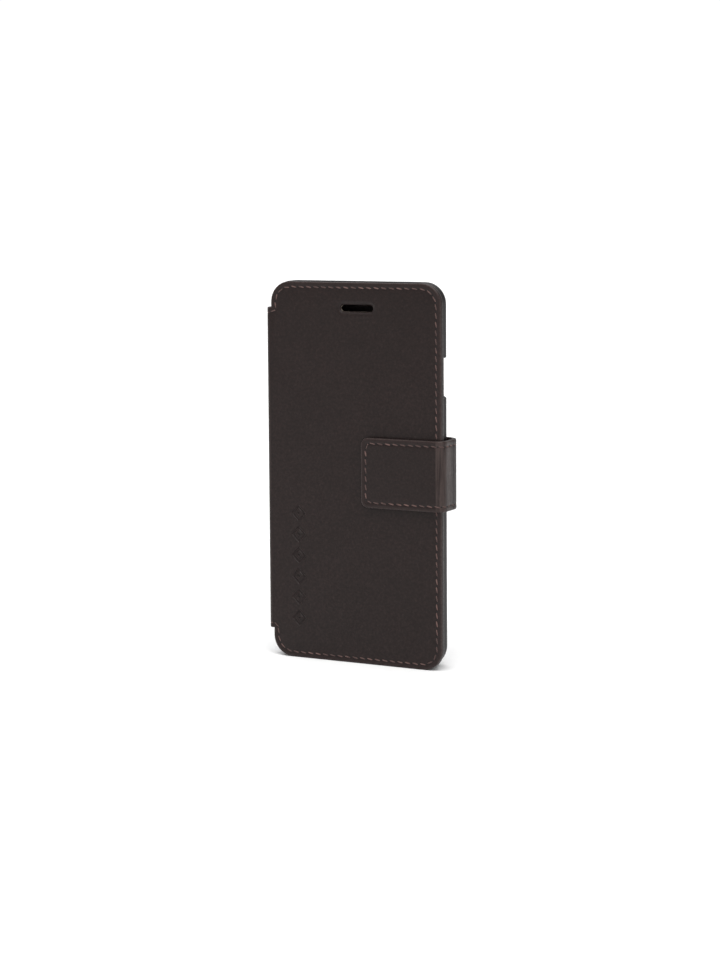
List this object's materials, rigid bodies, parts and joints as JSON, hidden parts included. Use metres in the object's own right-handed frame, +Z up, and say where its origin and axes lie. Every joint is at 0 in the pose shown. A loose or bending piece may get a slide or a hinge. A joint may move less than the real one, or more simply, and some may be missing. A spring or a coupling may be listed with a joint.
{
  "type": "phone wallet case",
  "caption": "Leather folio phone case: snap-in phone tray, folding cover with card pockets and an earpiece slot, and a magnetic strap that closes round the free side.",
  "frame": {"origin": "on the surface the case stands on, under the middle of its overall box", "axes": "+Z up along the case's length, +X from the spine towards the strap's side, +Y from the cover's outer face towards the back; the cover faces -Y"},
  "size_m": [0.0754, 0.0168, 0.1426],
  "materials": {
    "outer_hide": "smooth oiled hide, dark brown with a faint red mottle",
    "lining_hide": "smooth dark brown lining leather",
    "thread": "waxed polyester thread, dusty brown",
    "tray_shell": "fine-textured dark brown plastic",
    "soft_pad": "short-napped microfibre",
    "stiffener": "plain pressed board",
    "catch_steel": "plain sheet steel",
    "magnet_metal": "nickel-plated disc"
  },
  "bodies": {
    "back": {"phone_tray": "tray_shell", "tray_liner": "soft_pad", "back_leather": "outer_hide", "back_stitches": "thread", "strap_anchor_leather": "outer_hide", "strap_anchor_lining": "lining_hide", "strap_anchor_stitches": "thread"},
    "spine": {"spine_leather": "outer_hide", "spine_lining": "lining_hide", "spine_stitches": "thread"},
    "cover": {"cover_leather": "outer_hide", "cover_board": "stiffener", "cover_lining": "lining_hide", "catch_plate": "catch_steel", "cover_stitches": "thread", "cash_pocket": "lining_hide", "pocket_stitches": "thread", "card_pocket_1": "lining_hide", "card_pocket_2": "lining_hide", "card_pocket_3": "lining_hide"},
    "strap_side": {"strap_side_leather": "outer_hide", "strap_side_lining": "lining_hide", "strap_side_stitches": "thread"},
    "strap_tip": {"strap_tip_leather": "outer_hide", "strap_tip_lining": "lining_hide", "strap_magnet": "magnet_metal", "strap_tip_stitches": "thread"}
  },
  "joints": [
    {"name": "spine_fold", "type": "hinge", "parent": "back", "child": "spine", "pos_m": [-0.03695, 0.00615, 0.0712], "axis": [0, 0, -1], "range_deg": [0, 180]},
    {"name": "cover_fold", "type": "hinge", "parent": "spine", "child": "cover", "pos_m": [-0.03695, -0.00565, 0.0712], "axis": [0, 0, -1], "range_deg": [0, 180]},
    {"name": "strap_fold", "type": "hinge", "parent": "back", "child": "strap_side", "pos_m": [0.03665, 0.00745, 0.0722], "axis": [0, 0, 1], "range_deg": [0, 180]},
    {"name": "strap_tip_fold", "type": "hinge", "parent": "strap_side", "child": "strap_tip", "pos_m": [0.03665, -0.00745, 0.0722], "axis": [0, 0, 1], "range_deg": [0, 90]}
  ]
}
